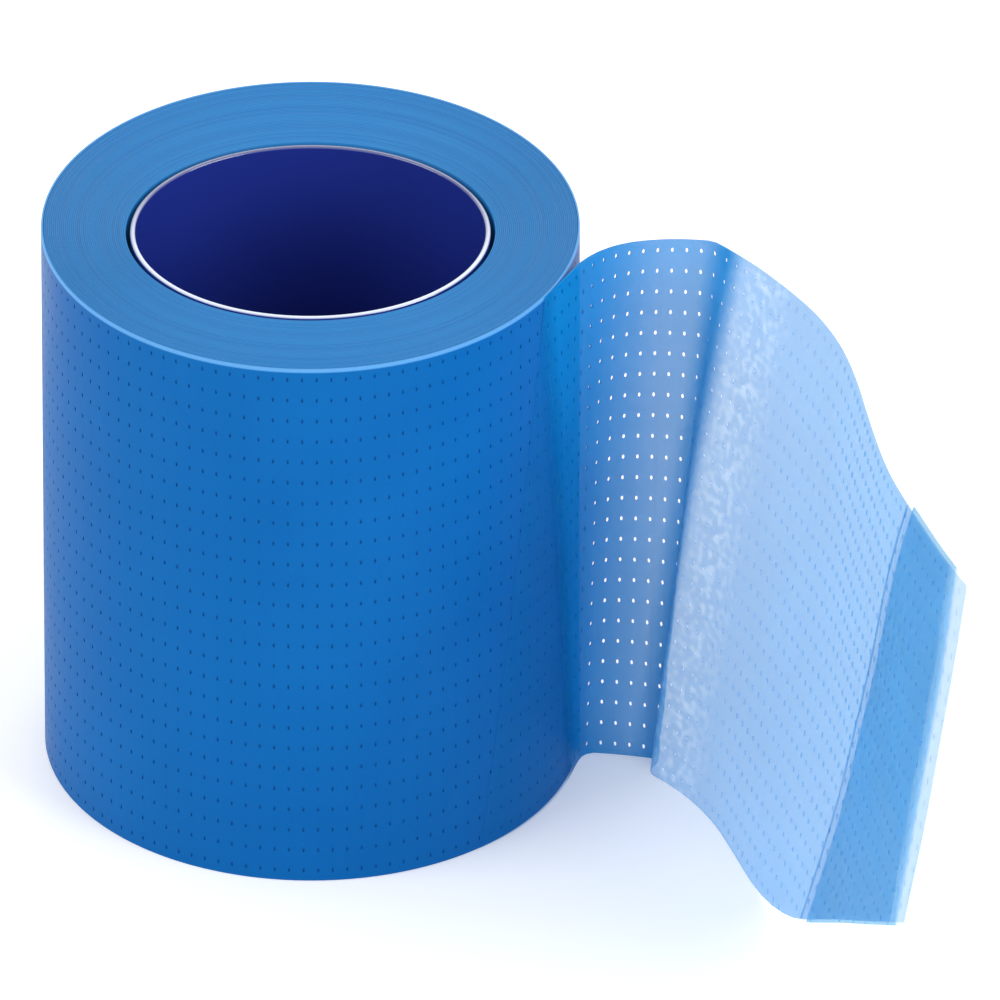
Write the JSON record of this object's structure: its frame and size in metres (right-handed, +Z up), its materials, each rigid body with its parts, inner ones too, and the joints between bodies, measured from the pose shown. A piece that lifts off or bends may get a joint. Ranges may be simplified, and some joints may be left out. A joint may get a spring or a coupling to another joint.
{
  "type": "grip tape roll",
  "caption": "Roll of thin translucent perforated tape on a dark plastic core, standing on end, its free end peeled away, creased and folded over as a pull tab.",
  "frame": {"origin": "under the middle of the object's bounding box, on the plane it stands on", "axes": "+Z up along the roll, +X towards the side where the tail leaves the roll, -Y towards the front, where the tail ends"},
  "size_m": [0.0762, 0.0778, 0.05],
  "materials": {
    "core_plastic": "glossy dark navy moulded plastic",
    "wound_edge": "satin stacked film edges, fine concentric lines",
    "tape_face": "satin blue film over many layers, rows of embossed dots",
    "tape_film": "translucent satin blue film, rows of small oval perforations",
    "tape_film_double": "translucent satin blue film, two layers thick"
  },
  "bodies": {
    "roll": {"core_tube": "core_plastic", "wound_tape": "wound_edge", "outer_turn": "tape_face"},
    "peel": {"peel_strip": "tape_face"},
    "bay": {"tail_bay": "tape_film"},
    "panel": {"tail_panel": "tape_film"},
    "tab": {"pull_tab": "tape_film", "tab_flap": "tape_film_double"}
  },
  "joints": [
    {"name": "unwind", "type": "hinge", "parent": "roll", "child": "peel", "pos_m": [-0.01591, 0.01674, 0.025], "axis": [0, 0, 1], "continuous": true},
    {"name": "peel_flex", "type": "hinge", "parent": "peel", "child": "bay", "pos_m": [0.00409, 0.0061, 0.025], "axis": [0, 0, -1], "range_deg": [0, 45], "stiffness_Nm_per_rad": 0.0005},
    {"name": "crease_flex", "type": "hinge", "parent": "bay", "child": "panel", "pos_m": [0.01282, 0.01269, 0], "axis": [0, 0, 1], "range_deg": [-20, 50], "stiffness_Nm_per_rad": 0.0005},
    {"name": "tab_flex", "type": "hinge", "parent": "panel", "child": "tab", "pos_m": [0.02395, -0.01381, 0], "axis": [0.1782, -0.2111, 0.9611], "range_deg": [-30, 30], "stiffness_Nm_per_rad": 0.0003}
  ]
}
